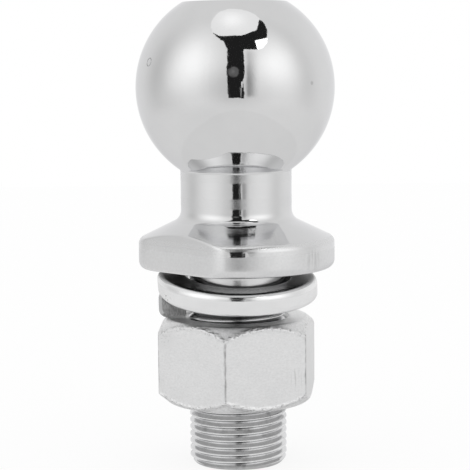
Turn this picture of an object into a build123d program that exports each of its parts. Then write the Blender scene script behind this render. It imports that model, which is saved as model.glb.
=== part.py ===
from build123d import *
import os
from math import asin, cos, degrees, radians, sqrt, tan

os.makedirs("parts", exist_ok=True)

# A threaded tow ball standing on the end of its shank, in millimetres.
# The origin is the middle of the shank's end face and +Z points up to the ball.
# The camera of the photograph looks along +Y, with +X to its right.

# Ball and neck
ball_diameter = 50.8
ball_centre_above_flange = 46.15
ball_flat_diameter = 26.7
neck_diameter = 28.5
neck_to_cone_radius = 3.2

# Flange
flange_diameter = 50.4
flange_rim_height = 7.6
flange_cone_slope = 26.0
flange_top_edge_radius = 2.0
flange_bottom_edge_radius = 2.1
wrench_flat_across = 41.5
wrench_flat_azimuth = 225.0

# Shank and its thread
shank_length = 50.8
plain_shank_length = 8.8
shank_over_thread = 0.15
thread_pitch = 25.4 / 14
thread_major_diameter = 25.15
thread_angle = 60.0
thread_crest_width = 0.25
thread_runout_slope = 30.0
shank_end_chamfer_depth = 1.15
shank_end_chamfer_slope = 50.0

# Hexagon nut
nut_wall_at_flats = 6.375
nut_height = 21.83
nut_corner_azimuth = 261.7
nut_chamfer_inside_flats = 0.85
nut_chamfer_slope = 40.0
nut_countersink_depth = 0.75
nut_countersink_slope = 45.0
nut_thread_depth = 0.97
nut_thread_clearance = 0.14

# Split spring lock washer
washer_bore_clearance = 0.95
washer_width = 7.0
washer_thickness = 6.0
washer_outer_chamfer = 1.1
washer_inner_chamfer = 0.5
washer_end_offset = 5.8
washer_gap_angle = 3.0
washer_gap_azimuth = 183.0
washer_cut_slant = 30.0
washer_lean_forward = 8.4
washer_lean_left = 1.7
washer_shift_right = 0.15
washer_below_flange = 0.37
washer_above_nut = 0.03

# Radii that follow from the sizes above
ball_radius = ball_diameter / 2
ball_flat_radius = ball_flat_diameter / 2
neck_radius = neck_diameter / 2
flange_radius = flange_diameter / 2
thread_radius = thread_major_diameter / 2
shank_radius = thread_radius + shank_over_thread / 2
shank_end_radius = thread_radius - shank_end_chamfer_depth
nut_bore_radius = thread_radius + nut_thread_clearance - nut_thread_depth
nut_mouth_radius = shank_radius + nut_countersink_depth
nut_flat_radius = thread_radius + nut_wall_at_flats
nut_corner_radius = nut_flat_radius / cos(radians(30))
nut_chamfer_radius = nut_flat_radius - nut_chamfer_inside_flats
washer_path_radius = shank_radius + washer_bore_clearance + washer_width / 2

# Heights that follow from the sizes above
flange_bottom = shank_length
flange_rim_top = flange_bottom + flange_rim_height
cone_top = flange_rim_top + (flange_radius - neck_radius) * tan(radians(flange_cone_slope))
ball_centre = flange_bottom + ball_centre_above_flange
neck_top = ball_centre - sqrt(ball_radius**2 - neck_radius**2)
ball_top = ball_centre + sqrt(ball_radius**2 - ball_flat_radius**2)
thread_top = shank_length - plain_shank_length


def thread_depth(pitch, crest_width):
    """Depth from the flat crest to the sharp root of a symmetric thread."""
    return (pitch - crest_width) / 2 / tan(radians(thread_angle / 2))


def threaded_rod(crest_radius, pitch, crest_width, base, turns):
    """A solid rod with a right-hand thread, made of one ring of faces for each turn."""
    root_radius = crest_radius - thread_depth(pitch, crest_width)
    flank = (pitch - crest_width) / 2
    profile = [(0, root_radius), (flank, crest_radius), (flank + crest_width, crest_radius)]

    def turn_edge(turn, rise, radius):
        start = base + turn * pitch + rise
        return Edge.make_helix(pitch, pitch, radius, center=(0, 0, start))

    faces = []
    for turn in range(turns):
        helices = [turn_edge(turn, rise, radius) for rise, radius in profile]
        helices.append(turn_edge(turn + 1, 0, root_radius))
        faces += [Face.make_surface_from_curves(a, b) for a, b in zip(helices, helices[1:])]

    # Each end is closed by one turn of a helical ramp and a flat step on the thread's section
    for turn in (0, turns):
        low = base + turn * pitch
        axis = Edge.make_line((0, 0, low), (0, 0, low + pitch))
        faces.append(Face.make_surface_from_curves(axis, turn_edge(turn, 0, root_radius)))
        corners = [(0, 0, low)]
        corners += [(radius, 0, low + rise) for rise, radius in profile]
        corners += [(root_radius, 0, low + pitch), (0, 0, low + pitch)]
        faces.append(Face(Wire.make_polygon(corners, close=True)))
    return Solid(Shell(Face.sew_faces(faces)[0]))


def turned_profile():
    """Half section of the forging: ball, neck, coned flange and plain shank."""
    runout_radius = thread_radius - thread_depth(thread_pitch, thread_crest_width)
    runout_drop = (shank_radius - runout_radius) / tan(radians(thread_runout_slope))
    with BuildSketch() as section:
        with BuildLine():
            Polyline(
                (0, thread_top - runout_drop),
                (runout_radius, thread_top - runout_drop),
                (shank_radius, thread_top),
                (shank_radius, flange_bottom),
                (flange_radius, flange_bottom),
                (flange_radius, flange_rim_top),
                (neck_radius, cone_top),
                (neck_radius, neck_top),
            )
            arc_start = degrees(asin((neck_top - ball_centre) / ball_radius))
            arc_end = degrees(asin((ball_top - ball_centre) / ball_radius))
            CenterArc((0, ball_centre), ball_radius, arc_start, arc_end - arc_start)
            Polyline(
                (ball_flat_radius, ball_top),
                (0, ball_top),
                (0, thread_top - runout_drop),
            )
        make_face()

        def corner(radius, height):
            return section.vertices().sort_by_distance((radius, height, 0))[0]

        fillet(corner(neck_radius, cone_top), neck_to_cone_radius)
        fillet(corner(flange_radius, flange_rim_top), flange_top_edge_radius)
        fillet(corner(flange_radius, flange_bottom), flange_bottom_edge_radius)
    return Plane.XZ * section.sketch


def wrench_flats():
    """Two blocks that leave the pair of wrench flats on the flange's rim."""
    depth = flange_radius
    block = Box(depth, flange_diameter, cone_top - flange_bottom, align=(Align.MIN, Align.CENTER, Align.MIN))
    blocks = Pos(wrench_flat_across / 2, 0, flange_bottom) * block
    turn = Rot(0, 0, wrench_flat_azimuth)
    return turn * blocks + turn * Rot(0, 0, 180) * blocks


def shank_envelope(top):
    """The turned blank of the threaded length, with the chamfer at its end."""
    blank_radius = shank_radius + thread_pitch
    chamfer = (blank_radius - shank_end_radius) * tan(radians(shank_end_chamfer_slope))
    outline = Polyline(
        (0, 0),
        (shank_end_radius, 0),
        (blank_radius, chamfer),
        (blank_radius, top),
        (0, top),
        close=True,
    )
    return revolve(Plane.XZ * make_face(outline), Axis.Z)


def ball_stud():
    """The tow ball: one forged and turned piece with a threaded shank."""
    body = revolve(turned_profile(), Axis.Z)
    body -= wrench_flats()
    top = thread_top + thread_pitch / 3
    turns = int(top / thread_pitch) + 3
    rod = threaded_rod(thread_radius, thread_pitch, thread_crest_width, -thread_pitch, turns)
    body += rod & shank_envelope(top)
    return body


def spring_lock_washer():
    """The split washer: a bar wound left-handed with slanted ends, leaning as in the photograph."""
    turn_share = 1 - washer_gap_angle / 360
    path = Helix(washer_end_offset / turn_share, washer_end_offset, washer_path_radius, lefthand=True)
    section = Plane(path @ 0, x_dir=(1, 0, 0), z_dir=path % 0)
    bar = Rectangle(washer_width, washer_thickness / cos(radians(washer_cut_slant)))
    bar = chamfer(bar.vertices().sort_by(Axis.X)[2:], washer_outer_chamfer)
    bar = chamfer(bar.vertices().sort_by(Axis.X)[:2], washer_inner_chamfer)
    ring = sweep(section * Rot(washer_cut_slant, 0, 0) * bar, path, is_frenet=True)
    ring = Rot(0, 0, washer_gap_azimuth - washer_gap_angle / 2) * Pos(0, 0, -washer_end_offset / 2) * ring
    ring = Rot(washer_lean_forward, -washer_lean_left, 0) * ring
    rise = flange_bottom - washer_below_flange - ring.bounding_box().max.Z
    return Pos(washer_shift_right, 0, rise) * ring


def nut_blank(nut_top):
    """The hexagon bar with both ends chamfered and its countersunk bore."""
    nut_bottom = nut_top - nut_height
    hexagon = RegularPolygon(nut_corner_radius, 6, rotation=nut_corner_azimuth)
    bar = extrude(Pos(0, 0, nut_bottom) * hexagon, nut_height)
    rise = (nut_corner_radius - nut_chamfer_radius) * tan(radians(nut_chamfer_slope))
    sink = (nut_mouth_radius - nut_bore_radius) / tan(radians(nut_countersink_slope))
    outline = Polyline(
        (nut_mouth_radius, nut_bottom),
        (nut_chamfer_radius, nut_bottom),
        (nut_corner_radius, nut_bottom + rise),
        (nut_corner_radius, nut_top - rise),
        (nut_chamfer_radius, nut_top),
        (nut_mouth_radius, nut_top),
        (nut_bore_radius, nut_top - sink),
        (nut_bore_radius, nut_bottom + sink),
        close=True,
    )
    return bar & revolve(Plane.XZ * make_face(outline), Axis.Z)


def hex_nut(washer):
    """The nut under the washer, tapped with the shank's thread and a clearance on every flank."""
    nut_top = washer.bounding_box().min.Z - washer_above_nut
    nut_bottom = nut_top - nut_height
    clearance = nut_thread_clearance
    tap_radius = thread_radius + clearance
    tap_crest = thread_crest_width + 2 * clearance * tan(radians(45 - thread_angle / 4))
    first_turn = int(nut_bottom / thread_pitch) - 1
    turns = int(nut_height / thread_pitch) + 3
    tap = threaded_rod(tap_radius, thread_pitch, tap_crest, first_turn * thread_pitch, turns)
    return nut_blank(nut_top) - tap


lock_washer = spring_lock_washer()
export_step(ball_stud(), "parts/ball_stud.step")
export_step(lock_washer, "parts/spring_lock_washer.step")
export_step(hex_nut(lock_washer), "parts/hex_nut.step")
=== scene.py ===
import math

import bmesh
import bpy
import numpy as np
from mathutils import Matrix, Vector


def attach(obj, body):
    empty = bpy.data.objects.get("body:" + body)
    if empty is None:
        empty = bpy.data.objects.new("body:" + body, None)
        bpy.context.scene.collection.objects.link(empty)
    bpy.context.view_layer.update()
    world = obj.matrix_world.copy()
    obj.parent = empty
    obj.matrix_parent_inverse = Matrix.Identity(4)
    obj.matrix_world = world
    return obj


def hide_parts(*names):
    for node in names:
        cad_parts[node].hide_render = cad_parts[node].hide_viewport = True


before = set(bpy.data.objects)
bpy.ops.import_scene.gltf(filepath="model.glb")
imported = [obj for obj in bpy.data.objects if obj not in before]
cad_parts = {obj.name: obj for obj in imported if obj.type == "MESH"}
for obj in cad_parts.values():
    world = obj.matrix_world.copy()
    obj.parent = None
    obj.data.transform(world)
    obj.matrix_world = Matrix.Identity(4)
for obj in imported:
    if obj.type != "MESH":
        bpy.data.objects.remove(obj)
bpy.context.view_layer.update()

# Shapes are in millimetres and degrees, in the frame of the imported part. Materials and studio are in metres.
MM = 0.001

# Ball, neck and flange
BALL_RADIUS = 25.398
BALL_CENTRE = 96.95
BALL_FLAT_RADIUS = 13.35
BALL_FLAT_ROUNDING = 0.45
NECK_RADIUS = 14.25
NECK_TO_BALL_RADIUS = 0.8
NECK_TO_CONE_RADIUS = 3.2
FLANGE_RADIUS = 25.2
FLANGE_BOTTOM = 50.8
RIM_TOP = 58.4
CONE_SLOPE = 26.0
SHOULDER_RADIUS = 2.0
LOWER_EDGE_RADIUS = 2.1
UNDERSIDE_RINGS = (20.3, 23.3)
WRENCH_FLAT_DISTANCE = 20.75
WRENCH_AZIMUTHS = (225.0, 45.0)
WRENCH_FLAT_TOP = 63.0
WRENCH_LOWER_ROUNDING = 0.35
WRENCH_EDGE_HEIGHTS = (57.6, 59.2)
WRENCH_EDGE_ROUNDINGS = (1.5, 0.5)

# Shank and thread
SHANK_RADIUS = 12.65
SHANK_FILLET_RADIUS = 0.45
PITCH = 25.4 / 14
THREAD_TOP = 42.0
THREAD_RADIUS = 12.575
THREAD_CREST = 0.25
THREAD_CREST_ROUNDING = 0.10
THREAD_ROOT_FILL = 0.14
THREAD_ROOT_ROUNDING = 0.22
FLANK_STEEPNESS = math.sqrt(3)
RUN_OUT_SLOPE = 30.0
RUN_OUT_ROUNDING = 0.08
SHANK_END_CHAMFER = 1.15
SHANK_END_RADIUS = THREAD_RADIUS - SHANK_END_CHAMFER
SHANK_END_SLOPE = 50.0
SHANK_END_ROUNDING = 0.12

# Hexagon nut
NUT_BOTTOM = 16.2
NUT_HEIGHT = 21.83
NUT_TOP = NUT_BOTTOM + NUT_HEIGHT
NUT_FLAT_DISTANCE = 18.95
NUT_CORNER_AZIMUTH = 261.7
NUT_CORNER_RADIUS = NUT_FLAT_DISTANCE / math.cos(math.radians(30))
NUT_CHAMFER_INSIDE_FLATS = 0.85
NUT_CHAMFER_RADIUS = NUT_FLAT_DISTANCE - NUT_CHAMFER_INSIDE_FLATS
NUT_CHAMFER_SLOPE = 40.0
NUT_COUNTERSINK = 0.75
NUT_MOUTH = SHANK_RADIUS + NUT_COUNTERSINK
NUT_COUNTERSINK_ROUNDING = 0.05
TAP_CLEARANCE = 0.14
TAP_RADIUS = THREAD_RADIUS + TAP_CLEARANCE
TAP_CREST = THREAD_CREST + 2 * TAP_CLEARANCE / FLANK_STEEPNESS
TAP_DEPTH = 0.97
TAP_ROUNDING = 0.06
NUT_BORE = TAP_RADIUS - TAP_DEPTH

# Roundings of the nut's corners, its chamfers' edges and its end faces, and how far wear varies them
NUT_CORNER_ROUNDING = 0.34
NUT_CORNER_WEAR = 0.16
NUT_EDGE_ROUNDING = 0.30
NUT_EDGE_WEAR = 0.22
NUT_FACE_ROUNDING = 0.18
NUT_FACE_ROUNDING_HEIGHT = 0.3
NUT_RUBBED_WIDTH = 0.95

# Split spring washer
WASHER_WIDTH = 7.0
WASHER_THICKNESS = 6.0
WASHER_BORE_CLEARANCE = 0.95
WASHER_PATH_RADIUS = SHANK_RADIUS + WASHER_BORE_CLEARANCE + WASHER_WIDTH / 2
WASHER_OUTER_ROUNDING = 1.75
WASHER_INNER_ROUNDING = 0.8
WASHER_WAVE = 0.012
WASHER_THINNED = 0.996
WASHER_CUT_INSET = 0.10
WASHER_STRIP_FROM = 2.9
WASHER_END_OFFSET = 5.8
WASHER_GAP = 3.0
WASHER_GAP_AZIMUTH = 184.5
WASHER_SLANT = 30.0
WASHER_LEAN_FORWARD = 8.4
WASHER_LEAN_LEFT = 1.7
WASHER_PLACE = (0.15, 0.0, 44.857)

# Places of mesh rows within one pitch, closer together at crests and roots
THREAD_ROWS = np.array([0.0, 0.10, 0.25, 0.52, 0.74, 0.815, 0.907, 1.0, 1.075, 1.29, 1.56, 1.71])
TAP_ROWS = np.array([0.0, 0.2, 0.5, 0.66, 0.72, 0.907, 1.09, 1.15, 1.31, 1.61])

# Points this close are joined, and edges with more than this angle between their faces are shaded sharp
JOIN_WITHIN = 2e-5
SHARP_ANGLE = 38


# Mesh making


def smooth_min(a, b, k):
    """The lesser of a and b, with the corner between them rounded over a width k."""
    h = np.clip(k - np.abs(a - b), 0, None) / np.maximum(k, 1e-9)
    return np.minimum(a, b) - h * h * k / 4


def smooth_max(a, b, k):
    return -smooth_min(-a, -b, k)


def wobble(x, y, z, seed):
    """Repeatable smooth noise, about -1 to 1, as a sum of sines."""
    rng = np.random.default_rng(seed)
    total = 0
    for _ in range(7):
        fx, fy, fz = rng.normal(0, 1, 3)
        total = total + np.sin(fx * x + fy * y + fz * z + rng.uniform(0, 6.283))
    return total / 3.2


def make_piece(name, points, faces, values=None):
    """A mesh object in metres from points in millimetres. Points that coincide are joined."""
    keys = np.round(points / JOIN_WITHIN).astype(np.int64)
    _, first, inverse = np.unique(keys, axis=0, return_index=True, return_inverse=True)
    order = np.argsort(first)
    rank = np.empty_like(order)
    rank[order] = np.arange(len(order))
    index = rank[inverse.reshape(-1)]
    kept = first[order]
    unshaded = []
    for face in faces:
        ring = [int(index[v]) for v in face]
        ring = [v for n, v in enumerate(ring) if v != ring[n - 1]]
        if len(ring) > 2 and len(set(ring)) == len(ring):
            unshaded.append(ring)
    mesh = bpy.data.meshes.new(name)
    mesh.from_pydata((points[kept] * MM).tolist(), [], unshaded)
    mesh.shade_smooth()
    mesh.set_sharp_from_angle(angle=math.radians(SHARP_ANGLE))
    for key, value in (values or {}).items():
        attribute = mesh.attributes.new(key, "FLOAT", "POINT")
        attribute.data.foreach_set("value", value[kept].astype(np.float32))
    thing = bpy.data.objects.new(name, mesh)
    bpy.context.scene.collection.objects.link(thing)
    return thing


def quads(corners, base, flip):
    """Faces from four arrays of point numbers, counted from base."""
    quad = np.stack(corners, -1).reshape(-1, 4) + base
    return (quad[:, ::-1] if flip else quad).tolist()


def wrapped_faces(rows, columns, base=0, flip=False):
    """Faces of a grid whose columns close round the axis, rows running outwards or up."""
    row = np.arange(rows - 1)[:, None] * columns
    above = row + columns
    here = np.arange(columns)
    beside = (here + 1) % columns
    return quads([row + here, row + beside, above + beside, above + here], base, flip)


def helical_faces(rows, per_turn, columns, base=0, flip=False):
    """Faces of a helical grid: a row that ends at the last column goes on per_turn rows up."""
    row = np.arange(rows - per_turn - 1)[:, None] * columns
    above = row + columns
    here = np.arange(columns)
    beside = (here + 1) % columns
    beside_up = beside + np.where(beside == 0, per_turn * columns, 0)
    return quads([row + here, row + beside_up, above + beside_up, above + here], base, flip)


def turned(radius, angle, height):
    """Points round the axis, one row of x, y and z for each."""
    radius, angle, height = np.broadcast_arrays(radius, np.radians(angle), height)
    return np.stack([radius * np.cos(angle), radius * np.sin(angle), height], -1).reshape(-1, 3)


def columns_round(step, edges, offsets):
    """Angles round the axis, closer together on both sides of the edges given."""
    both_sides = [side * offset for offset in offsets for side in (-1, 1)]
    marks = {round((edge + offset) % 360, 5) for edge in edges for offset in both_sides}
    reach = max(offsets) + step * 0.6
    for angle in np.arange(0, 360, step):
        if all(abs((angle - edge + 180) % 360 - 180) > reach for edge in edges):
            marks.add(angle)
    return np.array(sorted(marks))


def arc(centre_radius, centre_height, radius, start, end, count):
    a = np.radians(np.linspace(start, end, count))
    return [(centre_radius + radius * math.cos(t), centre_height + radius * math.sin(t)) for t in a]


def line(start, end, count):
    """Points from start to end, without start itself."""
    t = np.linspace(0, 1, count + 1)[1:]
    return [(start[0] + (end[0] - start[0]) * v, start[1] + (end[1] - start[1]) * v) for v in t]


def fillet(before, corner, after, radius, count):
    """Points of a fillet of this radius where two straight runs meet at a corner."""
    p, a, b = np.array(corner, float), np.array(before, float), np.array(after, float)
    u, v = (a - p) / np.linalg.norm(a - p), (b - p) / np.linalg.norm(b - p)
    half = math.acos(np.clip(u @ v, -1, 1)) / 2
    reach = radius / math.tan(half)
    middle = p + (u + v) / np.linalg.norm(u + v) * radius / math.sin(half)
    first, last = p + u * reach - middle, p + v * reach - middle
    turn = math.atan2(first[0] * last[1] - first[1] * last[0], first @ last)
    points = []
    for t in np.linspace(0, turn, count):
        c, s = math.cos(t), math.sin(t)
        points.append((middle[0] + c * first[0] - s * first[1], middle[1] + s * first[0] + c * first[1]))
    return points


# Thread shapes, as the radius at an angle and a height


def thread_flank(angle, height, crest_radius, crest_width):
    """Radius on the flanks of a right-hand 60 degree thread, carried on past its crests and roots."""
    away = np.abs((height - PITCH * angle / 360) % PITCH - PITCH / 2)
    return crest_radius - (away - crest_width / 2) * FLANK_STEEPNESS


def thread_radius(angle, height):
    flank = thread_flank(angle, height, THREAD_RADIUS, THREAD_CREST)
    root = THREAD_RADIUS - (PITCH - THREAD_CREST) / 2 * FLANK_STEEPNESS + THREAD_ROOT_FILL
    return smooth_max(smooth_min(flank, THREAD_RADIUS, THREAD_CREST_ROUNDING), root, THREAD_ROOT_ROUNDING)


def tap_radius(angle, height):
    flank = thread_flank(angle, height, TAP_RADIUS, TAP_CREST)
    return smooth_max(np.minimum(flank, TAP_RADIUS), NUT_BORE, TAP_ROUNDING)


def helical_rows(low, high, steps):
    """Heights at angle 0 of the rows that cover low to high all the way round."""
    first = math.floor(low / PITCH) - 2
    last = math.ceil(high / PITCH) + 1
    return np.concatenate([PITCH * n + steps for n in range(first, last + 1)])


# The tow ball itself


def stud_profile():
    """Radius and height up the turned part, from the top of the thread to the middle of the ball's flat."""
    cone_top = RIM_TOP + (FLANGE_RADIUS - NECK_RADIUS) * math.tan(math.radians(CONE_SLOPE))
    neck_top = BALL_CENTRE - math.sqrt(BALL_RADIUS**2 - NECK_RADIUS**2)
    shank_corner = (SHANK_RADIUS, FLANGE_BOTTOM)
    lower_corner = (FLANGE_RADIUS, FLANGE_BOTTOM)
    rim_corner = (FLANGE_RADIUS, RIM_TOP)
    cone_corner = (NECK_RADIUS, cone_top)

    rows = [(SHANK_RADIUS, THREAD_TOP), (SHANK_RADIUS, THREAD_TOP + 0.02)]
    rows += line(rows[-1], (SHANK_RADIUS, FLANGE_BOTTOM - 0.5), 5)
    rows += fillet((SHANK_RADIUS, THREAD_TOP), shank_corner, lower_corner, SHANK_FILLET_RADIUS, 5)[1:]
    rows += line(rows[-1], (UNDERSIDE_RINGS[0], FLANGE_BOTTOM), 5)
    rows += line(rows[-1], (UNDERSIDE_RINGS[1], FLANGE_BOTTOM), 3)
    rows += fillet(shank_corner, lower_corner, rim_corner, LOWER_EDGE_RADIUS, 14)
    rows += line(rows[-1], (FLANGE_RADIUS, RIM_TOP - 1.25), 6)
    rows += fillet(lower_corner, rim_corner, cone_corner, SHOULDER_RADIUS, 14)
    hip = fillet(rim_corner, cone_corner, (NECK_RADIUS, neck_top), NECK_TO_CONE_RADIUS, 16)
    rows += line(rows[-1], hip[0], 44)[:-1] + hip
    rows += line(rows[-1], (NECK_RADIUS, neck_top - 0.75), 16)
    return np.array(rows + ball_profile())


def ball_profile():
    """The small radius at the neck, the ball, and its flat with a slightly rounded rim."""
    reach = NECK_RADIUS + NECK_TO_BALL_RADIUS
    both = BALL_RADIUS + NECK_TO_BALL_RADIUS
    drop = math.sqrt(both**2 - reach**2)
    meet = math.degrees(math.atan2(drop, -reach))
    rows = arc(reach, BALL_CENTRE - drop, NECK_TO_BALL_RADIUS, 180, meet, 7)

    flat_height = math.sqrt(BALL_RADIUS**2 - BALL_FLAT_RADIUS**2)
    rim_height = flat_height - BALL_FLAT_ROUNDING
    rim_radius = math.sqrt((BALL_RADIUS - BALL_FLAT_ROUNDING) ** 2 - rim_height**2)
    start = math.degrees(math.asin(-drop / both))
    end = math.degrees(math.atan2(rim_height, rim_radius))
    rows += arc(0, BALL_CENTRE, BALL_RADIUS, start, end, 92)[1:]
    rows += arc(rim_radius, BALL_CENTRE + rim_height, BALL_FLAT_ROUNDING, end, 90, 6)[1:]
    return rows + line(rows[-1], (0.0, BALL_CENTRE + flat_height), 8)


def flats_cut(radius, angle, height):
    """The radius of the turned part where the wrench flats are cut into its flange."""
    rounding = WRENCH_LOWER_ROUNDING
    lift = np.clip(FLANGE_BOTTOM + rounding - height, 0, rounding)
    easing = rounding - np.sqrt(np.maximum(rounding**2 - lift**2, 0))
    on_flange = (height > FLANGE_BOTTOM - 0.01) & (height < WRENCH_FLAT_TOP)
    # The flat meets the rim in a wide rounding and the cone in a small one
    width = np.interp(height, WRENCH_EDGE_HEIGHTS, WRENCH_EDGE_ROUNDINGS)
    for azimuth in WRENCH_AZIMUTHS:
        off = (angle - azimuth + 180) % 360 - 180
        plane = WRENCH_FLAT_DISTANCE / np.cos(np.radians(np.clip(off, -60, 60)))
        radius = np.where(on_flange, smooth_min(radius, plane - easing, width), radius)
    return radius


def build_stud():
    half = math.degrees(math.acos(WRENCH_FLAT_DISTANCE / FLANGE_RADIUS))
    edges = [azimuth + side * half for azimuth in WRENCH_AZIMUTHS for side in (-1, 1)]
    angle = columns_round(2.5, edges, (0, 0.5, 1.0, 1.5, 2.1, 2.8, 3.6, 4.5))
    count = len(angle)

    # Threaded length, from the end face up
    at_zero = helical_rows(0, THREAD_TOP, THREAD_ROWS)
    height = np.clip(at_zero[:, None] + PITCH * angle / 360, 0, THREAD_TOP)
    end_chamfer = SHANK_END_RADIUS + height / math.tan(math.radians(SHANK_END_SLOPE))
    run_out = SHANK_RADIUS - (THREAD_TOP - height) * math.tan(math.radians(RUN_OUT_SLOPE))
    radius = smooth_min(thread_radius(angle, height), end_chamfer, SHANK_END_ROUNDING)
    radius = np.minimum(smooth_max(radius, run_out, RUN_OUT_ROUNDING), SHANK_RADIUS)
    radius = np.where(height >= THREAD_TOP, SHANK_RADIUS, radius)
    points = [turned(radius, angle, height)]
    faces = helical_faces(len(at_zero), len(THREAD_ROWS), count)

    # End face, a disc of rings that meets the thread's first row
    rim = smooth_min(thread_radius(angle, 0), SHANK_END_RADIUS, SHANK_END_ROUNDING)
    share = np.array([0.0, 0.35, 0.7, 1.0])
    points.append(turned(share[:, None] * rim, angle, 0))
    faces += wrapped_faces(len(share), count, radius.size)

    # Turned and forged length above the thread, with the two wrench flats
    profile = stud_profile()
    cut = flats_cut(profile[:, :1], angle, profile[:, 1:])
    points.append(turned(cut, angle, profile[:, 1:]))
    faces += wrapped_faces(len(profile), count, radius.size + len(share) * count)
    return make_piece("ball_stud_surface", np.concatenate(points), faces)


# The nut


def nut_side(angle, height):
    """Radius of the chamfered hexagon, and how far each point is on a chamfer's edge or on a corner."""
    x, y = np.cos(np.radians(angle)), np.sin(np.radians(angle))
    wear = wobble(x * 60, y * 60, height * 2.1, 5) * 0.5 + wobble(x * 130, y * 130, height * 4.3, 9) * 0.5
    uneven = np.clip(wear, -1, 1)
    off = (angle - NUT_CORNER_AZIMUTH + 360) % 60
    own_flat = NUT_FLAT_DISTANCE / np.cos(np.radians(off - 30))
    next_flat = NUT_FLAT_DISTANCE / np.cos(np.radians(np.where(off < 30, off + 30, off - 90)))
    hexagon = smooth_min(own_flat, next_flat, NUT_CORNER_ROUNDING + NUT_CORNER_WEAR * uneven)
    from_end = np.minimum(height - NUT_BOTTOM, NUT_TOP - height)
    cone = NUT_CHAMFER_RADIUS + from_end / math.tan(math.radians(NUT_CHAMFER_SLOPE))
    radius = smooth_min(hexagon, cone, NUT_EDGE_ROUNDING + NUT_EDGE_WEAR * uneven)
    radius = radius - NUT_FACE_ROUNDING * np.clip(1 - from_end / NUT_FACE_ROUNDING_HEIGHT, 0, 1) ** 2
    edge = np.clip(1 - np.abs(hexagon - cone + 0.25 * wear) / NUT_RUBBED_WIDTH, 0, 1)
    corner = np.clip(1.15 - np.abs(own_flat - next_flat + 0.16 * wear) / (0.34 + 0.12 * wear), 0, 1)
    return radius, edge, corner * (1 - edge) * (cone > hexagon)


def build_nut():
    corners = [(NUT_CORNER_AZIMUTH + 60 * n) % 360 for n in range(6)]
    angle = columns_round(3.0, corners, (0, 0.3, 0.65, 1.0, 1.4, 1.9, 2.6, 3.6))
    count = len(angle)
    rise = (NUT_CORNER_RADIUS - NUT_CHAMFER_RADIUS) * math.tan(math.radians(NUT_CHAMFER_SLOPE))
    near = np.concatenate([[0, 0.06, 0.14, 0.24, 0.36], np.arange(0.48, rise + 0.5, 0.11)])
    middle = np.linspace(near[-1] + 0.6, NUT_HEIGHT - near[-1] - 0.6, 16)
    level = np.concatenate([near, middle, NUT_HEIGHT - near[::-1]])[:, None] + NUT_BOTTOM
    radius, edge, corner = nut_side(angle, level)
    points = [turned(radius, angle, level)]
    faces = wrapped_faces(len(level), count)
    edges = [edge.reshape(-1)]
    total = radius.size

    # End faces, flat rings between the chamfer and the countersink
    share = np.array([0, 0.04, 0.35, 0.7, 0.93, 1.0])
    for height, outline, flip in ((NUT_TOP, radius[-1], False), (NUT_BOTTOM, radius[0], True)):
        ring = outline * (1 - share[:, None]) + NUT_MOUTH * share[:, None]
        points.append(turned(ring, angle, height))
        faces += wrapped_faces(len(share), count, total, flip)
        edges.append(np.repeat(np.where(share > 0.9, 0.5, 0.0), count))
        total += ring.size

    # Countersinks and the tapped hole
    at_zero = helical_rows(NUT_BOTTOM, NUT_TOP, TAP_ROWS)
    height = np.clip(at_zero[:, None] + PITCH * angle / 360, NUT_BOTTOM, NUT_TOP)
    depth = np.minimum(height - NUT_BOTTOM, NUT_TOP - height)
    bore = smooth_max(tap_radius(angle, height), NUT_MOUTH - depth, NUT_COUNTERSINK_ROUNDING)
    bore = np.where(depth <= 0, NUT_MOUTH, bore)
    points.append(turned(bore, angle, height))
    faces += helical_faces(len(at_zero), len(TAP_ROWS), count, total, True)
    total += bore.size
    values = {
        "edge": np.pad(np.concatenate(edges), (0, bore.size)),
        "corner": np.pad(corner.reshape(-1), (0, total - corner.size)),
    }
    return make_piece("hex_nut_surface", np.concatenate(points), faces, values)


# The split spring washer


def washer_section():
    """Outline of the washer's bar, as distances outwards and up from its middle."""
    corners = []
    for side, level, rounding, start in (
        (1, 1, WASHER_OUTER_ROUNDING, 0),
        (-1, 1, WASHER_INNER_ROUNDING, 90),
        (-1, -1, WASHER_INNER_ROUNDING, 180),
        (1, -1, WASHER_OUTER_ROUNDING, 270),
    ):
        across, up = side * (WASHER_WIDTH / 2 - rounding), level * (WASHER_THICKNESS / 2 - rounding)
        corners += arc(across, up, rounding, start, start + 90, 8)
    # More points along the sides keep the shading of the flats even
    outline = []
    for start, end in zip(corners, corners[1:] + corners[:1]):
        pieces = 5 if math.dist(start, end) > 2 else 1
        outline += [start] + line(start, end, pieces)[:-1]
    return np.array(outline)


def washer_side(outline):
    """Grid of points of the bar along its turn, with cut ends that slant and have a fine burr-free edge."""
    turn = 360 - WASHER_GAP
    length = WASHER_PATH_RADIUS * math.radians(turn)
    near = np.array([0.0006, 0.0014, 0.0024])
    sweep = np.unique(np.concatenate([np.linspace(0, 1, 216), near, 1 - near]))
    # The top of each end lies further on along the turn than its bottom
    share = sweep[:, None] + outline[:, 1] * math.tan(math.radians(WASHER_SLANT)) / length
    angle = np.radians(WASHER_GAP_AZIMUTH - WASHER_GAP / 2 - turn * share)
    lead = math.atan2(WASHER_END_OFFSET, length)
    inset = WASHER_CUT_INSET * np.clip(1 - np.minimum(sweep, 1 - sweep) / near[-1], 0, 1)[:, None] ** 2
    wave = wobble(sweep * 40, sweep * 0, sweep * 0, 3)[:, None] * WASHER_WAVE
    radius = WASHER_PATH_RADIUS + outline[:, 0] * (1 - inset / (WASHER_WIDTH / 2))
    rise = outline[:, 1] * (WASHER_THINNED - inset / (WASHER_THICKNESS / 2)) + wave
    back = rise * math.sin(lead)
    x = radius * np.cos(angle) - back * np.sin(angle)
    y = radius * np.sin(angle) + back * np.cos(angle)
    return np.stack([x, y, (share - 0.5) * WASHER_END_OFFSET + rise * math.cos(lead)], -1)


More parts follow.
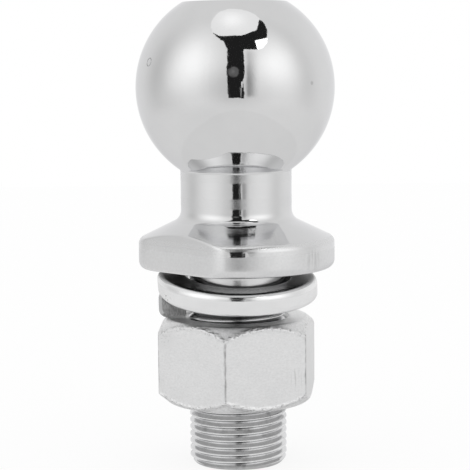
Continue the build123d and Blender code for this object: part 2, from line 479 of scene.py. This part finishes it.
def build_washer():
    outline = washer_section()
    side = washer_side(outline)
    rows, count = side.shape[:2]
    faces = wrapped_faces(rows, count, 0, True)
    points = side.reshape(-1, 3)
    cut = np.zeros(len(points))
    strip = np.zeros(len(points))

    # Each cut end: rings towards its middle, so that its normals stay flat
    share = np.array([1.0, 0.97, 0.82, 0.78, 0.5, 0.25])[:, None]
    # A bright strip is left along the outer edge of the cut
    outer = (share > 0.8) & (outline[:, 0] > WASHER_STRIP_FROM)
    grey = np.where(outer | (share > 0.99), 0.0, 1.0)
    for row, flip in ((0, False), (rows - 1, True)):
        centre = side[row].mean(0)
        base = len(points)
        cap = centre + (side[row] - centre) * share[:, :, None]
        points = np.concatenate([points, cap.reshape(-1, 3), centre[None]])
        cut = np.concatenate([cut, grey.reshape(-1), [1.0]])
        strip = np.concatenate([strip, outer.astype(float).reshape(-1), [0.0]])
        faces += wrapped_faces(len(share), count, base, not flip)
        tip = base + len(share) * count
        last = tip - count
        for n in range(count):
            face = [last + n, last + (n + 1) % count, tip]
            faces.append(face if flip else face[::-1])
    forward = Matrix.Rotation(math.radians(WASHER_LEAN_FORWARD), 3, "X")
    lean = forward @ Matrix.Rotation(math.radians(-WASHER_LEAN_LEFT), 3, "Y")
    points = points @ np.array(lean).T + np.array(WASHER_PLACE)
    return make_piece("spring_washer_surface", points, faces, {"cut": cut, "strip": strip})


# Materials


def feed(tree, value, socket):
    """Link another node's output to a socket, or set it to a number, a grey or a colour."""
    if isinstance(value, bpy.types.NodeSocket):
        tree.links.new(value, socket)
    elif socket.type == "RGBA":
        socket.default_value = (*value, 1) if isinstance(value, tuple) else (value, value, value, 1)
    else:
        socket.default_value = value


def add(tree, kind, sockets=None, **settings):
    """A new node with its settings, and its input sockets fed."""
    node = tree.nodes.new(kind)
    for key, value in settings.items():
        setattr(node, key, value)
    for key, value in (sockets or {}).items():
        feed(tree, value, node.inputs[key])
    return node


def cleared_tree(owner):
    owner.use_nodes = True
    owner.node_tree.nodes.clear()
    return owner.node_tree


def new_material(name):
    material = bpy.data.materials.new(name)
    return material, cleared_tree(material)


def show(tree, surface, kind="ShaderNodeOutputMaterial"):
    add(tree, kind, {"Surface": surface})


def maths(tree, operation, a, b=0.0, clamp=False):
    return add(tree, "ShaderNodeMath", {0: a, 1: b}, operation=operation, use_clamp=clamp).outputs[0]


def plus(tree, a, b, clamp=False):
    return maths(tree, "ADD", a, b, clamp)


def times(tree, a, b, clamp=False):
    return maths(tree, "MULTIPLY", a, b, clamp)


def object_place(tree):
    return add(tree, "ShaderNodeTexCoord").outputs["Object"]


def split(tree, vector):
    return add(tree, "ShaderNodeSeparateXYZ", {0: vector}).outputs


def upwards(tree):
    """How far the surface faces up, from -1 to 1."""
    return split(tree, add(tree, "ShaderNodeNewGeometry").outputs["Normal"])[2]


def attribute(tree, name):
    return add(tree, "ShaderNodeAttribute", attribute_name=name).outputs["Fac"]


def noise(tree, vector, scale, detail=3.0, roughness=0.55):
    sockets = {"Vector": vector, "Scale": scale, "Detail": detail, "Roughness": roughness}
    return add(tree, "ShaderNodeTexNoise", sockets).outputs["Fac"]


def stretched_noise(tree, vector, scales, detail=3.0, roughness=0.55):
    place = add(tree, "ShaderNodeMapping", {"Vector": vector, "Scale": scales}).outputs["Vector"]
    return noise(tree, place, 1.0, detail, roughness)


def remap(tree, value, low, high, to_low, to_high, smooth=False):
    kind = "SMOOTHSTEP" if smooth else "LINEAR"
    sockets = {"Value": value, "From Min": low, "From Max": high, "To Min": to_low, "To Max": to_high}
    return add(tree, "ShaderNodeMapRange", sockets, interpolation_type=kind).outputs["Result"]


def mixed(tree, share, first, second, blend="MIX"):
    """The first colour where share is 0 and the second where it is 1."""
    sockets = {0: share, 6: first, 7: second}
    return add(tree, "ShaderNodeMix", sockets, data_type="RGBA", blend_type=blend).outputs[2]


def multiplied(tree, colour, share, by):
    """The colour times another, or times a grey, where share is 1."""
    return mixed(tree, share, colour, by, "MULTIPLY")


def bump(tree, height, strength, distance, before=None):
    sockets = {"Height": height, "Strength": strength, "Distance": distance}
    if before is not None:
        sockets["Normal"] = before
    return add(tree, "ShaderNodeBump", sockets).outputs["Normal"]


def recess(tree, reach, low, high):
    """0 in a narrow recess, 1 in the open."""
    open_share = add(tree, "ShaderNodeAmbientOcclusion", {"Distance": reach}, samples=8).outputs["AO"]
    return remap(tree, open_share, low, high, 0, 1, True)


def band(tree, value, low, high, soft):
    """1 where value lies between low and high, with soft ends."""
    up = remap(tree, value, low - soft, low + soft, 0, 1, True)
    down = remap(tree, value, high - soft, high + soft, 1, 0, True)
    return times(tree, up, down)


def radius_and_height(tree, position):
    x, y, z = split(tree, position)
    return maths(tree, "SQRT", plus(tree, times(tree, x, x), times(tree, y, y))), z


def distance_from(tree, position, point):
    return add(tree, "ShaderNodeVectorMath", {0: position, 1: point}, operation="DISTANCE").outputs["Value"]


def spot(tree, position, point, radius, soft):
    """1 within a radius of a point, with a soft rim."""
    return remap(tree, distance_from(tree, position, point), radius - soft, radius + soft, 1, 0, True)


def show_metal(tree, colour, roughness, normal, edge_grey):
    sockets = {"Base Color": colour, "Metallic": 1.0, "Roughness": roughness, "Normal": normal}
    sockets["Specular Tint"] = edge_grey
    show(tree, add(tree, "ShaderNodeBsdfPrincipled", sockets).outputs["BSDF"])


# Zones of the ball stud that look different, as heights or radii in metres
BELOW_FLANGE = (0.0500, 0.0512)
RIM = (0.0508, 0.0574)
RIM_SIDE = (0.0512, 0.0562)
SHOULDER = (0.0576, 0.0590)
CONE = (0.0586, 0.0648)
TURNED = (0.0535, 0.0755)
NECK_FOOT = (0.0668, 0.06945)
NECK_TOP = (0.0733, 0.0760)
FLANK_RADII = (0.01147, 0.01248)
ROOT_RADII = (0.0114, 0.0124)
BY_WASHER = (0.0360, 0.0416)

# Places of single marks, in metres
SMEAR = (0.0190, -0.0165, 0.0543)
DRYING_RING = (-0.02123, -0.01227, 0.10357)
DRYING_RING_RADII = (0.00088, 0.00112)
FAINT_SPOT = (0.01878, -0.01706, 0.0981)
WASHER_PITS = (-0.0182, -0.0100, 0.0432)
NUT_SCUFF = (-0.0192, -0.0098, 0.0345)
NUT_SCRATCHES = (0.0145, -0.0146, 0.0240)


def chrome_colour(tree, position, height, facing):
    smudge = noise(tree, position, 75, 4.0, 0.6)
    colour = mixed(tree, remap(tree, smudge, 0.3, 0.7, 0, 1), (0.785, 0.787, 0.790), (0.825, 0.826, 0.828))
    # Painted shade on the cone where it faces up
    cone = times(tree, band(tree, height, *CONE, 0.0006), remap(tree, facing, 0.5, 0.85, 0, 1))
    colour = multiplied(tree, colour, cone, 0.96)
    streaks = stretched_noise(tree, position, (1500, 1500, 160))
    smear = times(tree, spot(tree, position, SMEAR, 0.0022, 0.0016), remap(tree, streaks, 0.40, 0.60, 1, 0))
    colour = multiplied(tree, colour, smear, 0.80)
    fine_wear = noise(tree, position, 1500, 3.0, 0.7)
    worn = mixed(tree, remap(tree, fine_wear, 0.3, 0.7, 0, 1), 1.0, 1.09)
    return multiplied(tree, colour, band(tree, height, *RIM, 0.0004), worn)


def chrome_roughness(tree, height, patches, turned_zone, wide_rings):
    """Polished on the ball, with duller turned bands on the neck, the shoulder and the rim."""
    neck_foot = times(tree, band(tree, height, *NECK_FOOT, 0.0003), 0.82)
    rim_side = band(tree, height, *RIM_SIDE, 0.0001)
    dull = plus(tree, band(tree, height, *NECK_TOP, 0.0003), neck_foot, True)
    dull = plus(tree, dull, rim_side, True)
    rough = remap(tree, patches, 0.3, 0.75, 0.028, 0.055)
    rough = plus(tree, rough, times(tree, turned_zone, remap(tree, wide_rings, 0.3, 0.7, 0.0, 0.03)))
    for zone, more in (
        (dull, 0.17),
        (remap(tree, height, *BELOW_FLANGE, 1, 0, True), 0.11),
        (rim_side, 0.08),
        (band(tree, height, *SHOULDER, 0.0003), 0.22),
    ):
        rough = plus(tree, rough, times(tree, zone, more))
    return rough


def drop_marks(tree, position, grain):
    """A ring left by a drop on the ball, and a faint spot across from it."""
    away = distance_from(tree, position, DRYING_RING)
    ring = times(tree, band(tree, away, *DRYING_RING_RADII, 0.0001), remap(tree, grain, 0.42, 0.6, 0.35, 1.0))
    faint = spot(tree, position, FAINT_SPOT, 0.00045, 0.0003)
    return plus(tree, times(tree, ring, 0.85), times(tree, faint, 0.3), True)


def thread_colour(tree, colour, position, radius, height, facing):
    """Painted highlight on the crests and roots, painted shade on the flanks and more on those facing down,
    random stains, and painted shade in the roots by the washer.
    """
    in_thread = remap(tree, height, 0.0416, 0.0422, 1, 0)
    flank = band(tree, radius, *FLANK_RADII, 0.00004)
    # Painted highlight on the crests and roots
    crest_and_root_highlight = times(tree, maths(tree, "SUBTRACT", 1.0, flank), in_thread)
    colour = multiplied(tree, colour, crest_and_root_highlight, 1.18)
    spread = remap(tree, noise(tree, position, 700), 0.35, 0.65, 0.8, 1.0)
    # Painted shade on the flanks, a little uneven
    dull = times(tree, times(tree, flank, spread), in_thread)
    colour = multiplied(tree, colour, dull, 0.98)
    stain = times(tree, in_thread, remap(tree, noise(tree, position, 300), 0.58, 0.70, 0, 1))
    colour = multiplied(tree, colour, stain, 0.78)
    # Painted shade on the flanks that face down
    lower_flank_shade = times(tree, dull, remap(tree, facing, -0.4, 0.0, 1, 0))
    colour = multiplied(tree, colour, lower_flank_shade, 0.62)
    # Painted shade in the roots by the washer
    root_shade_by_washer = times(tree, band(tree, height, *BY_WASHER, 0.0012), remap(tree, radius, *ROOT_RADII, 1, 0))
    return multiplied(tree, colour, root_shade_by_washer, 0.25)


def ball_chrome():
    material, tree = new_material("ball_chrome")
    position = object_place(tree)
    radius, height = radius_and_height(tree, position)
    facing = upwards(tree)
    # Lathe rings: noise that changes only with the radius and the height
    ring_place = add(tree, "ShaderNodeCombineXYZ", {0: radius, 2: height}).outputs[0]
    turned_zone = band(tree, height, *TURNED, 0.0012)
    patches = noise(tree, position, 260)
    grain = noise(tree, position, 2600, 2.0)
    marks = drop_marks(tree, position, grain)
    rough = chrome_roughness(tree, height, patches, turned_zone, noise(tree, ring_place, 900))
    rough = plus(tree, rough, times(tree, marks, 0.3), True)
    normal = bump(tree, patches, 0.06, 0.0004)
    normal = bump(tree, times(tree, noise(tree, ring_place, 5200, 2.0), turned_zone), 0.10, 0.00006, normal)
    normal = bump(tree, grain, 0.04, 0.00003, normal)
    colour = mixed(tree, marks, chrome_colour(tree, position, height, facing), 0.12)
    # Painted shade in the corner under the flange, from an ambient occlusion mask
    elsewhere = maths(
        tree,
        "MAXIMUM",
        remap(tree, height, 0.0506, 0.0510, 0, 1),
        remap(tree, radius, 0.0130, 0.0134, 1, 0),
    )
    unshaded = maths(tree, "MAXIMUM", elsewhere, recess(tree, 0.006, 0.25, 0.85))
    colour = mixed(tree, unshaded, 0.20, colour)
    colour = thread_colour(tree, colour, position, radius, height, facing)
    show_metal(tree, colour, rough, normal, (0.88, 0.88, 0.89))
    return material


def washer_plating():
    material, tree = new_material("washer_plating")
    position = object_place(tree)
    cut = attribute(tree, "cut")
    strip = attribute(tree, "strip")
    patches = noise(tree, position, 330, 4.0)
    streaks = stretched_noise(tree, position, (3000, 3000, 130))
    pits = remap(tree, noise(tree, position, 1700, 1.0, 0.4), 0.30, 0.36, 1, 0, True)
    pits = times(tree, pits, spot(tree, position, WASHER_PITS, 0.0024, 0.0014))
    plated = mixed(tree, remap(tree, patches, 0.3, 0.7, 0, 1), (0.93, 0.932, 0.935), (0.975, 0.976, 0.978))
    sawn = mixed(tree, remap(tree, streaks, 0.35, 0.65, 0, 1), 0.38, 0.66)
    colour = mixed(tree, cut, plated, sawn)
    colour = mixed(tree, times(tree, pits, 0.6), colour, 0.2)
    # Painted shade in the washer's recesses, mostly left off the cut faces and the strip along them
    open_share = recess(tree, 0.0055, 0.20, 0.80)
    unshaded = maths(tree, "MAXIMUM", open_share, times(tree, cut, 0.75))
    unshaded = maths(tree, "MAXIMUM", unshaded, strip)
    colour = mixed(tree, unshaded, 0.26, colour)
    # The face under the flange is duller than the side
    rough = remap(tree, patches, 0.3, 0.7, 0.10, 0.19)
    rough = plus(tree, rough, remap(tree, open_share, 0.2, 0.9, 0.20, 0.0))
    rough = plus(tree, rough, times(tree, strip, 0.5))
    rough = plus(tree, rough, times(tree, cut, 0.25), True)
    normal = bump(tree, noise(tree, position, 1500), 0.10, 0.00006)
    normal = bump(tree, times(tree, streaks, cut), 0.5, 0.0001, normal)
    normal = bump(tree, patches, 0.10, 0.0004, normal)
    show_metal(tree, colour, rough, normal, 0.9)
    return material


def nut_colour(tree, position, patches, scratch, speck, edge):
    """Satin plating: mottled, with painted shade on the chamfers, rubbed along its edges and scuffed in two
    places.
    """
    mottle = stretched_noise(tree, position, (1500, 1500, 2600), 3.0, 0.7)
    colour = mixed(tree, remap(tree, patches, 0.3, 0.7, 0, 1), (0.94, 0.942, 0.945), (0.98, 0.981, 0.983))
    colour = multiplied(tree, colour, 1.0, mixed(tree, remap(tree, mottle, 0.3, 0.7, 0, 1), 0.87, 0.99))
    scuff = spot(tree, position, NUT_SCUFF, 0.0026, 0.0020)
    scuff = times(tree, scuff, remap(tree, mottle, 0.50, 0.66, 0, 1))
    scratches = spot(tree, position, NUT_SCRATCHES, 0.0022, 0.0012)
    scratches = times(tree, scratches, remap(tree, scratch, 0.54, 0.68, 0, 0.8))
    colour = multiplied(tree, colour, plus(tree, scuff, scratches, True), 0.72)
    # Painted shade on the chamfers, by how far they face up or down
    chamfer_shade = remap(tree, maths(tree, "ABSOLUTE", upwards(tree)), 0.3, 0.6, 0, 1)
    chamfer_shade = times(tree, chamfer_shade, remap(tree, mottle, 0.35, 0.60, 1.0, 0.2))
    colour = multiplied(tree, colour, chamfer_shade, 0.86)
    bright_rub = times(tree, edge, remap(tree, speck, 0.46, 0.62, 0, 1))
    colour = mixed(tree, times(tree, bright_rub, 0.8, True), colour, 0.97)
    nicks = remap(tree, stretched_noise(tree, position, (500, 500, 700)), 0.35, 0.6, 0.45, 1.0)
    nicks = times(tree, attribute(tree, "corner"), nicks)
    dark_rub = times(tree, edge, remap(tree, speck, 0.44, 0.34, 0, 0.8))
    dark_rub = maths(tree, "MAXIMUM", dark_rub, nicks)
    return mixed(tree, times(tree, dark_rub, 0.7, True), colour, 0.22)


def nut_plating():
    material, tree = new_material("nut_plating")
    position = object_place(tree)
    edge = attribute(tree, "edge")
    patches = noise(tree, position, 210, 4.0, 0.6)
    speck = noise(tree, position, 1700, 2.0, 0.4)
    scratch = stretched_noise(tree, position, (2600, 2600, 90), 2.0)
    colour = nut_colour(tree, position, patches, scratch, speck, edge)
    # Painted shade in the thread and other recesses, mostly left off the upper countersink
    radius, height = radius_and_height(tree, position)
    sink = times(tree, remap(tree, radius, 0.0134, 0.0136, 0.9, 0), remap(tree, height, 0.0366, 0.0370, 0, 1))
    unshaded = maths(tree, "MAXIMUM", recess(tree, 0.003, 0.15, 0.7), sink)
    colour = mixed(tree, unshaded, 0.10, colour)
    rough = remap(tree, patches, 0.3, 0.7, 0.30, 0.40)
    normal = bump(tree, noise(tree, position, 3800, 2.0), 0.16, 0.00005)
    normal = bump(tree, scratch, 0.10, 0.00006, normal)
    normal = bump(tree, stretched_noise(tree, position, (120, 120, 2400), 2.0), 0.08, 0.00006, normal)
    normal = bump(tree, times(tree, speck, edge), 1.0, 0.0004, normal)
    show_metal(tree, colour, rough, normal, 0.95)
    return material


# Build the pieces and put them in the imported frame

stud = build_stud()
nut = build_nut()
washer = build_washer()
for piece, body, node, slot_name, material in (
    (stud, "ball_stud", "ball_stud", "ball_chrome", ball_chrome()),
    (nut, "nut", "hex_nut", "nut_plating", nut_plating()),
    (washer, "washer", "spring_lock_washer", "washer_plating", washer_plating()),
):
    piece.data.materials.append(material)
    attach(piece, body)
    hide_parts(node)
    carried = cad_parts[node]
    carried.data.materials.clear()
    carried.data.materials.append(material)


# Camera, as it stood for the photograph. Its tilt and roll are in radians, the rest in metres and pixels.

PHOTO_WIDTH = 470
FOCAL = 1611.4
SENSOR_WIDTH = 36.0
CAMERA_PLACE = Vector((-0.000405, -0.4127, 0.10499))
TILT_DOWN = 0.1110
ROLL = 0.0098

level_right = Vector((1, 0, 0))
level_up = Vector((0, math.sin(TILT_DOWN), math.cos(TILT_DOWN)))
ahead = Vector((0, math.cos(TILT_DOWN), -math.sin(TILT_DOWN)))
right = math.cos(ROLL) * level_right - math.sin(ROLL) * level_up
up = math.sin(ROLL) * level_right + math.cos(ROLL) * level_up

camera_data = bpy.data.cameras.new("camera")
camera_data.sensor_width = SENSOR_WIDTH
camera_data.lens = FOCAL / PHOTO_WIDTH * SENSOR_WIDTH
camera_data.clip_start = 0.02
camera_data.clip_end = 50.0
camera = bpy.data.objects.new("camera", camera_data)
camera.matrix_world = Matrix.Translation(CAMERA_PLACE) @ Matrix((right, up, -ahead)).transposed().to_4x4()
bpy.context.scene.collection.objects.link(camera)
bpy.context.scene.camera = camera


# Studio. The metal shows its cards, whose outlines are the pixels of their reflections in the ball.

STAND = [
    (227.4, 47), (227.6, 60), (227.2, 72), (227.6, 80), (228.4, 92), (228.6, 98.2), (243.8, 98.2),
    (243.6, 88), (242.6, 82), (244.2, 76), (244.6, 68), (244.2, 60), (243.6, 48),
]
BAR = [
    (211.8, 32), (218, 35.4), (223, 36.2), (232, 35.4), (242, 35.6), (250, 32.6), (256.5, 30.2),
    (258, 26), (259, 19.6), (262.5, 21.5), (265.5, 26), (267.2, 30), (267.2, 38.4), (255, 40.6),
    (257.6, 49.4), (250, 50), (243.6, 49), (243.6, 51), (227.4, 49), (226, 45), (224, 42.4), (217, 37),
]
SLIT = [(241.2, 82), (242.6, 81.4), (242.4, 87.6), (241.0, 88)]
SLAT = [(240.2, 88), (241.4, 88), (241.8, 97), (240.8, 97)]
REFLECTOR = [(255, 40.6), (267.3, 38.2), (267, 43), (263, 48), (257.6, 49.4)]
OVERHEAD = [
    (210.6, 27), (211.6, 21), (215, 15.6), (220, 11.6), (226, 9.4), (233, 8.8), (241, 9.4),
    (248, 11.4), (254, 14), (259.6, 18.8), (258.6, 27), (257, 31), (250, 33.6), (242, 36.5),
    (232, 36.3), (223, 37), (216, 34.6), (211.6, 32.4),
]
OVERHEAD_MIDDLE_BOX = (212, 10, 258, 36)
FLAP_BOX = (244.2, 48, 261, 99)
LENS_BOX = (227.6, 66, 239.4, 79)
SOFT_CARD_CELLS = 24


def glow(tree, strength):
    return add(tree, "ShaderNodeEmission", {"Strength": strength}).outputs[0]


def clear_through(tree):
    return add(tree, "ShaderNodeBsdfTransparent").outputs[0]


def either(tree, share, first, second):
    """The first shader where share is 0 and the second where it is 1."""
    return add(tree, "ShaderNodeMixShader", {0: share, 1: first, 2: second}).outputs[0]


def glowing(name, strength):
    material, tree = new_material(name)
    show(tree, glow(tree, strength))
    return material


def softly_glowing(name, strength):
    """Glows where the mesh attribute "cover" is 1 and is clear where it is 0."""
    material, tree = new_material(name)
    show(tree, either(tree, attribute(tree, "cover"), clear_through(tree), glow(tree, strength)))
    return material


def seen_in_ball(x, y, distance):
    """The point, this far from the ball's centre, that the ball reflects at x, y in the photograph."""
    middle = PHOTO_WIDTH / 2
    ray = (ahead + (x - middle) / FOCAL * right - (y - middle) / FOCAL * up).normalized()
    centre = Vector((0, 0, BALL_CENTRE * MM))
    start = CAMERA_PLACE - centre
    along = start.dot(ray)
    hit = start + ray * (-along - math.sqrt(along**2 - start.length_squared + (BALL_RADIUS * MM) ** 2))
    away = ray - 2 * ray.dot(hit.normalized()) * hit.normalized()
    along = hit.dot(away)
    return centre + hit + away * (-along + math.sqrt(along**2 - hit.length_squared + distance**2))


def hang(name, mesh, material):
    """Put a card into the studio so that only reflections show it."""
    mesh.materials.append(material)
    thing = bpy.data.objects.new(name, mesh)
    bpy.context.scene.collection.objects.link(thing)
    thing.visible_camera = False
    thing.visible_diffuse = False
    thing.visible_shadow = False
    thing.visible_transmission = False


def card(name, outline, distance, material):
    flat = bmesh.new()
    flat.faces.new([flat.verts.new((x, y, 0)) for x, y in outline])
    flat.normal_update()
    bmesh.ops.triangulate(flat, faces=flat.faces[:])
    bmesh.ops.subdivide_edges(flat, edges=flat.edges[:], cuts=3, use_grid_fill=True)
    for vertex in flat.verts:
        vertex.co = seen_in_ball(vertex.co.x, vertex.co.y, distance)
    mesh = bpy.data.meshes.new(name)
    flat.to_mesh(mesh)
    flat.free()
    hang(name, mesh, material)


def soft_card(name, box, distance, strength, cover):
    """A card with soft edges: cover gives how much of it there is at a point of its reflection."""
    side = SOFT_CARD_CELLS + 1
    across, down = np.meshgrid(np.linspace(box[0], box[2], side), np.linspace(box[1], box[3], side))
    points = [seen_in_ball(float(x), float(y), distance) for x, y in zip(across.ravel(), down.ravel())]
    corners = [side * j + i for j in range(SOFT_CARD_CELLS) for i in range(SOFT_CARD_CELLS)]
    mesh = bpy.data.meshes.new(name)
    mesh.from_pydata([tuple(p) for p in points], [], [(n, n + 1, n + 1 + side, n + side) for n in corners])
    share = np.clip(cover(across, down), 0, 1).ravel().astype(np.float32)
    mesh.attributes.new("cover", "FLOAT", "POINT").data.foreach_set("value", share)
    hang(name, mesh, softly_glowing(name, strength))


def eased(value, low, high):
    """0 below low and 1 above high, with a smooth rise between."""
    t = np.clip((value - low) / (high - low), 0, 1)
    return t * t * (3 - 2 * t)


def bell(value, middle, width):
    return np.exp(-(((value - middle) / width) ** 2))


def overhead_middle(x, y):
    return bell(x, 232, 12) * bell(y, 20, 7.5) * eased(y, 10, 13) * eased(36 - y, 0, 4)


def flap(x, y):
    """Falls off slowly to the right of its middle and fast to the left, and is stronger lower down."""
    sides = bell(x, 248.3, np.where(x > 248.3, 6.2, 2.2)) * eased(261 - x, 0, 3)
    return (0.42 + 0.50 * eased(y, 55, 82)) * sides * eased(y, 48, 54) * eased(99 - y, 0, 5)


def lens(x, y):
    """A round lens with a glint in its middle."""
    disc = eased(5.8 - np.hypot(x - 233.6, (y - 72) * 0.95), 0, 1.2) * eased(78.5 - y, 0, 3)
    return disc * (0.62 + 0.38 * bell(x, 233, 2) * bell(y, 71.6, 2))


black = glowing("dark_cloth", 0.015)
card("dark_stand", STAND, 1.0, black)
card("dark_bar", BAR, 1.0, black)
card("stand_slit", SLIT, 0.96, glowing("stand_slit", 0.8))
card("stand_slat", SLAT, 0.96, glowing("stand_slat", 0.25))
card("reflector", REFLECTOR, 0.99, glowing("reflector", 2.2))
card("overhead", OVERHEAD, 1.02, glowing("overhead", 0.93))
soft_card("overhead_middle", OVERHEAD_MIDDLE_BOX, 1.01, 1.13, overhead_middle)
soft_card("grey_flap", FLAP_BOX, 1.01, 0.30, flap)
soft_card("lens", LENS_BOX, 0.98, 0.17, lens)


def oval(tree, x, y, middle, reach):
    """1 at the rim of an oval on the floor, less inside it."""
    u = maths(tree, "DIVIDE", maths(tree, "SUBTRACT", x, middle[0]), reach[0])
    v = maths(tree, "DIVIDE", maths(tree, "SUBTRACT", y, middle[1]), reach[1])
    return maths(tree, "SQRT", plus(tree, times(tree, u, u), times(tree, v, v)))


def floor_paper():
    """White paper that keeps the object's shadow."""
    material, tree = new_material("floor_white")
    seen = add(tree, "ShaderNodeLightPath").outputs
    x, y, _ = split(tree, object_place(tree))
    diffuse = add(tree, "ShaderNodeBsdfDiffuse", {"Color": 0.95}).outputs[0]
    paper = either(tree, times(tree, seen["Is Camera Ray"], 0.85), diffuse, glow(tree, 1.0))
    # In the metal the floor is about as bright as the rest of the studio, with a painted shadow a little
    # darker round the object, and melts into it further out
    shadow_oval = oval(tree, x, y, (0.011, -0.056), (0.108, 0.168))
    mirrored = glow(tree, remap(tree, shadow_oval, 0.96, 1.03, 0.735, 0.765, True))
    far_out = remap(tree, oval(tree, x, y, (0, 0), (1, 1)), 0.16, 0.42, 0, 1, True)
    mirrored = either(tree, far_out, mirrored, clear_through(tree))
    show(tree, either(tree, seen["Is Glossy Ray"], paper, mirrored))
    return material


FLOOR_X = (-0.7, 0.7)
FLOOR_Y = (-0.43, 0.9)
floor_corners = [(FLOOR_X[i], FLOOR_Y[j], 0) for i, j in ((0, 0), (1, 0), (1, 1), (0, 1))]
floor_mesh = bpy.data.meshes.new("floor")
floor_mesh.from_pydata(floor_corners, [], [[0, 1, 2, 3]])
floor_mesh.materials.append(floor_paper())
floor = bpy.data.objects.new("floor", floor_mesh)
bpy.context.scene.collection.objects.link(floor)


# Soft lights and shades of the studio: azimuth, elevation, width and tallness in degrees, then strength

STUDIO_LEVEL = 0.79
STUDIO_BASE = 0.957
LOBES = (
    (-52, 24, 32, 30, 0.54),
    (51, 23, 32, 25, 0.50),
    (-38, -19, 35, 18, 0.17),
    (54, -23, 33, 10, 0.10),
    (-102, 12, 21, 28, -0.25),
    (89, 16, 17, 34, -0.17),
    (-13, 0, 40, 27, -0.26),
    (174, 6, 46, 28, 0.25),
    (-65, -12, 25, 11, -0.11),
)


def lobe(tree, level_way, elevation, azimuth, height, width, tall, gain):
    a = math.radians(azimuth)
    sockets = {0: level_way, 1: (math.sin(a), -math.cos(a), 0)}
    along = add(tree, "ShaderNodeVectorMath", sockets, operation="DOT_PRODUCT").outputs["Value"]
    side = times(tree, maths(tree, "SUBTRACT", along, 1.0), 2 / math.radians(width) ** 2)
    above = maths(tree, "SUBTRACT", elevation, math.radians(height))
    above = maths(tree, "DIVIDE", above, math.radians(tall))
    total = maths(tree, "SUBTRACT", side, times(tree, above, above))
    return times(tree, maths(tree, "EXPONENT", total), gain)


def studio_world():
    """Plain white, except that the metal mirrors a studio of soft lights and shades."""
    world = bpy.data.worlds.new("studio")
    tree = cleared_tree(world)
    way = add(tree, "ShaderNodeTexCoord").outputs["Generated"]
    flat_way = add(tree, "ShaderNodeVectorMath", {0: way, 1: (1, 1, 0)}, operation="MULTIPLY").outputs[0]
    level_way = add(tree, "ShaderNodeVectorMath", {0: flat_way}, operation="NORMALIZE").outputs[0]
    elevation = maths(tree, "ARCSINE", split(tree, way)[2])
    level = STUDIO_BASE * STUDIO_LEVEL
    for *shape, gain in LOBES:
        level = plus(tree, lobe(tree, level_way, elevation, *shape, gain * STUDIO_LEVEL), level)
    studio = add(tree, "ShaderNodeBackground", {"Color": 1.0, "Strength": level}).outputs[0]
    plain = add(tree, "ShaderNodeBackground", {"Color": 1.0, "Strength": 1.0}).outputs[0]
    mirrored = add(tree, "ShaderNodeLightPath").outputs["Is Glossy Ray"]
    show(tree, either(tree, mirrored, plain, studio), "ShaderNodeOutputWorld")
    return world


bpy.context.scene.world = studio_world()
bpy.context.scene.view_settings.view_transform = "Standard"
